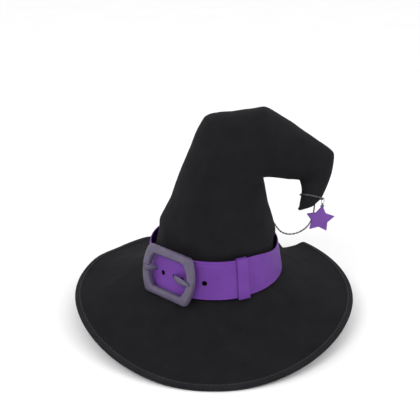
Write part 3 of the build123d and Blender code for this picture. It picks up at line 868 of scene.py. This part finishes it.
# ---- buckle -------------------------------------------------------------------------------------
def buckle_outline(inset, corner):
    """Closed outline of the frame: flat top and bottom, bowed sides and rounded corners."""
    height = BUCKLE_HALF_HEIGHT - inset
    bow = BUCKLE_HALF_MIDDLE - BUCKLE_HALF_TOP
    radius = (height ** 2 + bow ** 2) / (2.0 * bow)
    hub = BUCKLE_HALF_MIDDLE - inset - radius
    corner_y = height - corner
    corner_x = hub + math.sqrt((radius - corner) ** 2 - corner_y ** 2)
    start = math.atan2(corner_y, corner_x - hub)
    limit = radius * math.sin(start)
    near = [0.0, 0.0022, SEAT_LENGTH / 2.0 - 0.0001, SEAT_LENGTH / 2.0 + 0.0001, 0.0065]
    heights = near + [near[-1] + (limit - near[-1]) * i / 9.0 for i in range(1, 10)]
    heights = [-y for y in reversed(heights[1:])] + heights
    side = [(hub + math.sqrt(radius ** 2 - y ** 2), y) for y in heights]
    bend = []
    for i in range(1, 9):
        angle = start + (math.pi / 2.0 - start) * i / 8.0
        bend.append((corner_x + corner * math.cos(angle), corner_y + corner * math.sin(angle)))
    across = [(corner_x * (1.0 - i / 6.0), height) for i in range(1, 12)]
    half = side + bend + across + [(-x, y) for x, y in reversed(bend)]
    return [Vector(spot) for spot in half + [(-x, -y) for x, y in half]]


def buckle_piece():
    """The cast frame: bevelled bars, with a round seat on the left bar for the tongue."""
    outer = buckle_outline(0.0, BUCKLE_CORNER)
    inner = buckle_outline(BUCKLE_BAR, BUCKLE_INNER_CORNER)
    matrix = plane_matrix(BUCKLE_AZIMUTH, BUCKLE_HEIGHT)
    back = BUCKLE_GAP
    front = back + BUCKLE_THICKNESS
    soft = 0.00012
    half = [(soft, back), (0.0, back + soft), (0.0, front - BUCKLE_BEVEL - soft),
            (soft, front - BUCKLE_BEVEL + soft), (BUCKLE_BEVEL - soft, front - soft),
            (BUCKLE_BEVEL + soft, front)]
    verts = []
    for out_spot, in_spot in zip(outer, inner):
        unit = (in_spot - out_spot).normalized()
        section = [(out_spot + unit * offset, height) for offset, height in half]
        section += [(in_spot - unit * offset, height) for offset, height in reversed(half)]
        hub = Vector((BUCKLE_BAR / 2.0 - BUCKLE_HALF_MIDDLE, out_spot.y, back + BUCKLE_THICKNESS / 2.0))
        for flat, height in section:
            spot = Vector((flat.x, flat.y, height))
            if out_spot.x < 0.0 and abs(out_spot.y) < SEAT_LENGTH / 2.0:
                away = Vector((spot.x - hub.x, 0.0, spot.z - hub.z))
                spot = hub + away.normalized() * SEAT_RADIUS
            verts.append(matrix @ spot)
    faces = grid_faces(len(outer), 2 * len(half), close_rows=True)
    piece = add_object("buckle_bars", verts, faces, BUCKLE, "hat", ["buckle_frame"])
    piece.data.set_sharp_from_angle(angle=math.radians(40.0))
    return piece


COLLAR_STEPS = 36
# The tongue: along the strap, out from it, half width, half thickness.
TONGUE_LINE = (
    (-0.0384, 0.0078, 0.0041, 0.0007), (-0.0358, 0.0073, 0.0041, 0.0008), (-0.0334, 0.0058, 0.0038, 0.0009),
    (-0.0313, 0.003, 0.0034, 0.0009), (-0.0295, -0.0002, 0.0031, 0.0009), (-0.0278, -0.004, 0.0027, 0.0009),
    (-0.0262, -0.0072, 0.0024, 0.0008), (-0.0238, -0.0084, 0.0023, 0.0008), (-0.014, -0.0064, 0.0023, 0.0008),
    (0.001, -0.0052, 0.0023, 0.0008), (0.0052, -0.0037, 0.0023, 0.0009), (0.0075, -0.0013, 0.0025, 0.001),
    (0.0097, 0.0016, 0.0029, 0.0011), (0.0125, 0.0037, 0.0034, 0.0013), (0.017, 0.0056, 0.0041, 0.0014),
    (0.023, 0.0073, 0.0047, 0.0015), (0.0285, 0.0083, 0.0045, 0.0014), (0.034, 0.0091, 0.0033, 0.0011),
    (0.0388, 0.0097, 0.0018, 0.0009), (0.0414, 0.0099, 0.0007, 0.0006), (0.042, 0.0099, 0.0002, 0.0003),
)


def tongue_piece():
    """A flat prong that threads the strap and widens to a bevelled point on the right bar."""
    matrix = plane_matrix(BUCKLE_AZIMUTH, BUCKLE_HEIGHT)
    line = [Vector((x, 0.0, z)) for x, z, _, _ in TONGUE_LINE]
    shape = ((-1.0, -0.5), (-0.8, -1.0), (0.8, -1.0), (1.0, -0.5), (1.0, 0.1), (0.4, 1.0), (-0.4, 1.0),
             (-1.0, 0.1))
    verts = []
    for i, (_, _, half, thick) in enumerate(TONGUE_LINE):
        along = (line[min(i + 1, len(line) - 1)] - line[max(i - 1, 0)]).normalized()
        out = Vector((-along.z, 0.0, along.x))
        for across, lift in shape:
            verts.append(matrix @ (line[i] + Vector((0.0, across * half, 0.0)) + out * (lift * thick)))
    faces = grid_faces(len(line), len(shape)) + end_caps(len(line), len(shape))
    hub = Vector((BUCKLE_BAR / 2.0 - BUCKLE_HALF_MIDDLE, 0.0, BUCKLE_GAP + BUCKLE_THICKNESS / 2.0))
    collar = ((SEAT_RADIUS + 0.0001, -0.004), (0.0043, -0.0041), (0.0047, -0.0036), (0.0047, 0.0036),
              (0.0043, 0.0041), (SEAT_RADIUS + 0.0001, 0.004))
    ring = [matrix @ (hub + Vector((radius * cosine, y, radius * sine)))
            for cosine, sine in circle(COLLAR_STEPS) for radius, y in collar]
    verts, faces = merge([(verts, faces), (ring, grid_faces(COLLAR_STEPS, len(collar), close_rows=True))])
    piece = add_object("tongue_prong", verts, faces, BUCKLE, "tongue", ["buckle_tongue"])
    piece.data.set_sharp_from_angle(angle=math.radians(35.0))
    return piece


buckle_piece()
tongue_piece()


# ---- chains -------------------------------------------------------------------------------------
LINK_PITCH = 0.003
LINK_WIRE = 0.00052
ANCHOR_AZIMUTH = 32.0
ANCHOR_AXIS = Vector((0.0035, 0.0024, 0.124))
ANCHOR_REACH = 0.082
ANCHOR_SIDES = 32


def link_mesh(centre, along, side):
    """One oval link lying in the plane of along and side."""
    across = along.cross(side).normalized()
    half_length = LINK_PITCH / 2.0 + LINK_WIRE * 1.25
    half_width = CHAIN_DIAMETER / 2.0 + 0.00015 - LINK_WIRE
    frames = []
    for cosine, sine in circle(16):
        spot = centre + along * (half_length * cosine) + side * (half_width * sine)
        outward = (along * (half_width * cosine) + side * (half_length * sine)).normalized()
        frames.append((spot, outward, across))
    return swept(frames, round_section(LINK_WIRE, 6), closed=True)


def chain_mesh(line, closed):
    """Links along a line of points, each turned a quarter from the last."""
    steps = [0.0]
    for here, there in zip(line, line[1:]):
        steps.append(steps[-1] + (there - here).length)
    count = round(steps[-1] / LINK_PITCH)
    links = []
    side = (line[1] - line[0]).cross(Vector((0.3, 1.0, 0.2))).normalized()
    cursor = 0
    for i in range(count):
        target = steps[-1] * (i + (0.0 if closed else 0.5)) / count
        while steps[cursor + 1] < target:
            cursor += 1
        share = (target - steps[cursor]) / (steps[cursor + 1] - steps[cursor])
        spot = line[cursor].lerp(line[cursor + 1], share)
        along = (line[cursor + 1] - line[cursor]).normalized()
        side = (side - along * side.dot(along)).normalized()
        roll = math.radians(45.0 + (90.0 if i % 2 else 0.0) + rng.uniform(-9.0, 9.0))
        turned = side * math.cos(roll) + along.cross(side) * math.sin(roll)
        links.append(link_mesh(spot, along, turned))
    return merge(links)


def route_points(route):
    """Points along the smooth curve through a cord's route."""
    curve = bpy.data.curves.new("route", "CURVE")
    curve.dimensions = "3D"
    curve.resolution_u = 24
    spline = curve.splines.new("NURBS")
    spline.points.add(len(route) - 1)
    for point, place in zip(spline.points, route):
        point.co = (*place, 1.0)
    spline.order_u = 3
    spline.use_endpoint_u = True
    holder = bpy.data.objects.new("route", curve)
    bpy.context.scene.collection.objects.link(holder)
    bpy.context.view_layer.update()
    mesh = bpy.data.meshes.new_from_object(holder)
    line = [v.co.copy() for v in mesh.vertices]
    bpy.data.objects.remove(holder)
    bpy.data.curves.remove(curve)
    bpy.data.meshes.remove(mesh)
    return line


def loop_plane():
    state = STATIONS[TIP_LOOP_STATION]
    centre, across, deep = Vector(state[:3]), Vector(state[3:6]).normalized(), Vector(state[6:]).normalized()
    return centre + across * TIP_LOOP_SHIFT, across, deep


def tip_loop_piece():
    centre, across, deep = loop_plane()
    turns = [TURN * i / 180 for i in range(181)]
    line = [centre + across * (TIP_LOOP_RADIUS * math.cos(turn)) + deep * (TIP_LOOP_RADIUS * math.sin(turn))
            for turn in turns]
    verts, faces = chain_mesh(line, closed=True)
    return add_object("tip_chain", verts, faces, CHAIN, "hat", ["tip_chain_loop"])


def hanging_chain_piece():
    line = route_points(CHAIN_ROUTE)
    verts, faces = chain_mesh(line, closed=False)
    piece = add_object("swag_chain", verts, faces, CHAIN, "hat", ["hanging_chain"])
    return piece


def torus(centre, x_axis, y_axis, radius, wire, steps, sides):
    z_axis = x_axis.cross(y_axis).normalized()
    frames = []
    for cosine, sine in circle(steps):
        out = x_axis * cosine + y_axis * sine
        frames.append((centre + out * radius, out, z_axis))
    return swept(frames, round_section(wire, sides), closed=True)


def anchor_piece():
    """A small domed rivet with a ring, which holds the chain's end on the crown."""
    turn = math.radians(ANCHOR_AZIMUTH)
    out = Vector((math.cos(turn), math.sin(turn), 0.0))
    side = Vector((-math.sin(turn), math.cos(turn), 0.0))
    up = Vector((0.0, 0.0, 1.0))
    base = ANCHOR_AXIS + out * ANCHOR_REACH
    profile = ((0.0, 0.0042), (0.0004, 0.0043), (0.0009, 0.0039), (0.0013, 0.0028), (0.0015, 0.0014))
    verts = []
    for lift, radius in profile:
        verts += [base + out * lift + side * (radius * cosine) + up * (radius * sine)
                  for cosine, sine in circle(ANCHOR_SIDES)]
    faces = grid_faces(len(profile), ANCHOR_SIDES) + end_caps(len(profile), ANCHOR_SIDES)
    ring = torus(base + out * 0.0038, out, up, 0.0026, 0.0006, 28, 10)
    verts, faces = merge([(verts, faces), ring])
    return add_object("anchor_rivet", verts, faces, CHAIN, "hat", ["chain_anchor"])


tip_loop_piece()
hanging_chain_piece()
anchor_piece()


# ---- star charm ---------------------------------------------------------------------------------
STAR_OUTER = 0.0204
STAR_INNER = 0.0116
STAR_HALF = 0.0015
# Degrees that the star hangs turned, clockwise from the front.
STAR_LEAN = 6.0


def charm_link_piece():
    low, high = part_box("charm_link")
    middle = (low + high) / 2.0
    wire = 0.0004
    half_width = (high.x - low.x) / 2.0 - wire
    straight = (high.z - low.z) / 2.0 - wire - half_width
    frames = []
    for cosine, sine in circle(40):
        lift = straight if sine >= 0.0 else -straight
        spot = middle + Vector((half_width * cosine, 0.0, half_width * sine + lift))
        frames.append((spot, Vector((cosine, 0.0, sine)), Vector((0.0, 1.0, 0.0))))
    verts, faces = swept(frames, round_section(wire, 10), closed=True)
    return add_object("drop_link", verts, faces, CHAIN, "link", ["charm_link"])


def star_ring_piece():
    low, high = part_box("star_ring")
    verts, faces = torus((low + high) / 2.0, Vector((0.0, 1.0, 0.0)), Vector((0.0, 0.0, 1.0)), 0.0024, 0.0005,
                         32, 10)
    return add_object("jump_ring", verts, faces, CHAIN, "star", ["star_ring"])


def star_piece():
    """A cast star with softened points, bevelled edges and slightly hollow faces."""
    low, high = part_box("star_charm")
    hook = Vector(((low.x + high.x) / 2.0, (low.y + high.y) / 2.0, high.z - 0.0007))
    lean = math.radians(STAR_LEAN)
    centre = hook + Vector((-math.sin(lean), 0.0, -math.cos(lean))) * (STAR_OUTER + 0.0002)
    corners = []
    for i in range(10):
        radius = STAR_OUTER if i % 2 == 0 else STAR_INNER
        turn = math.radians(90.0 - STAR_LEAN + 36.0 * i)
        corners.append(Vector((radius * math.cos(turn), radius * math.sin(turn))))
    outline = []
    for i, corner in enumerate(corners):
        after = corners[(i + 1) % 10]
        outline += [corner.lerp(after, share) for share in (0.0, 0.06, 0.2, 0.35, 0.5, 0.65, 0.8, 0.94)]
    count = len(outline)
    softened = [(outline[i - 1] + outline[i] * 2.0 + outline[(i + 1) % count]) / 4.0 for i in range(count)]
    # Size of each ring of the face, and its height above the middle of the star.
    levels = ((0.35, STAR_HALF - 0.00012), (0.62, STAR_HALF - 0.00012), (0.88, STAR_HALF),
              (0.955, STAR_HALF - 0.0001), (0.985, STAR_HALF - 0.0005), (1.0, STAR_HALF - 0.0009))
    verts = []
    for sign in (1.0, -1.0):
        ordered = levels if sign > 0 else levels[::-1]
        for size, lift in ordered:
            verts += [centre + Vector((spot.x * size, -sign * lift, spot.y * size)) for spot in softened]
    rows = 2 * len(levels)
    faces = grid_faces(rows, count)
    for start, sign in ((0, 1.0), ((rows - 1) * count, -1.0)):
        verts.append(centre + Vector((0.0, -sign * STAR_HALF, 0.0)))
        faces += [(start + c, start + (c + 1) % count, len(verts) - 1) for c in range(count)]
    place = centre + (hook - centre).normalized() * (STAR_OUTER - 0.001)
    tab = torus(place, Vector((1.0, 0.0, 0.0)), Vector((0.0, 0.0, 1.0)), 0.002, 0.0007, 28, 10)
    verts, faces = merge([(verts, faces), tab])
    piece = add_object("star_body", verts, faces, STAR, "star", ["star_charm"])
    piece.data.set_sharp_from_angle(angle=math.radians(40.0))
    return piece


charm_link_piece()
star_ring_piece()
star_piece()

# ---- CAD nodes that stay ------------------------------------------------------------------------
for node, material in (("brim_wire", WIRE), ("crown_wire", WIRE), ("strap_tacks", THREAD)):
    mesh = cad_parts[node].data
    if mesh.materials:
        for index in range(len(mesh.materials)):
            mesh.materials[index] = material
    else:
        mesh.materials.append(material)

# ---- floor, light and camera --------------------------------------------------------------------
SKY_STRENGTH = 1.03
FLOOR_HALF = 6.0

world = bpy.data.worlds.new("studio")
bpy.context.scene.world = world
world.use_nodes = True
sky = world.node_tree.nodes["Background"].inputs
sky["Color"].default_value = (1.0, 1.0, 1.0, 1.0)
sky["Strength"].default_value = SKY_STRENGTH
bpy.context.scene.view_settings.view_transform = "Standard"

floor_mesh = bpy.data.meshes.new("floor")
corners = [(x * FLOOR_HALF, y * FLOOR_HALF, 0.0) for x, y in ((-1, -1), (1, -1), (1, 1), (-1, 1))]
floor_mesh.from_pydata(corners, [], [(0, 1, 2, 3)])
floor = bpy.data.objects.new("floor", floor_mesh)
bpy.context.scene.collection.objects.link(floor)
paper = Nodes("studio_paper", 0.95)
paper_colour = paper.ramp(paper.noise(6.0), ((0.3, (0.93, 0.93, 0.93)), (0.7, (0.95, 0.95, 0.95))))
floor_mesh.materials.append(paper.finish(paper_colour, paper.bump(paper.noise(90.0), 0.05, 0.001)))


def area_light(name, place, target, size, power):
    lamp = bpy.data.lights.new(name, "AREA")
    lamp.shape = "DISK"
    lamp.size = size
    lamp.energy = power
    holder = bpy.data.objects.new(name, lamp)
    bpy.context.scene.collection.objects.link(holder)
    holder.location = place
    holder.rotation_euler = (Vector(target) - Vector(place)).to_track_quat("-Z", "Y").to_euler()


area_light("key", (-0.9, -1.1, 1.5), (0.0, 0.0, 0.12), 0.9, 9.0)
area_light("fill", (1.3, -0.6, 1.0), (0.0, 0.0, 0.12), 1.2, 4.0)

CAMERA_TILT = math.radians(25.0)
CAMERA_DISTANCE = 0.98
CAMERA_TARGET = Vector((-0.0059, 0.0, 0.151))
camera_data = bpy.data.cameras.new("camera")
camera_data.lens = 60.0
camera_data.sensor_width = 36.0
camera = bpy.data.objects.new("camera", camera_data)
bpy.context.scene.collection.objects.link(camera)
toward = Vector((0.0, -math.cos(CAMERA_TILT), math.sin(CAMERA_TILT)))
camera.location = CAMERA_TARGET + toward * CAMERA_DISTANCE
camera.rotation_euler = (math.pi / 2.0 - CAMERA_TILT, 0.0, 0.0)
bpy.context.scene.camera = camera

bpy.context.view_layer.update()
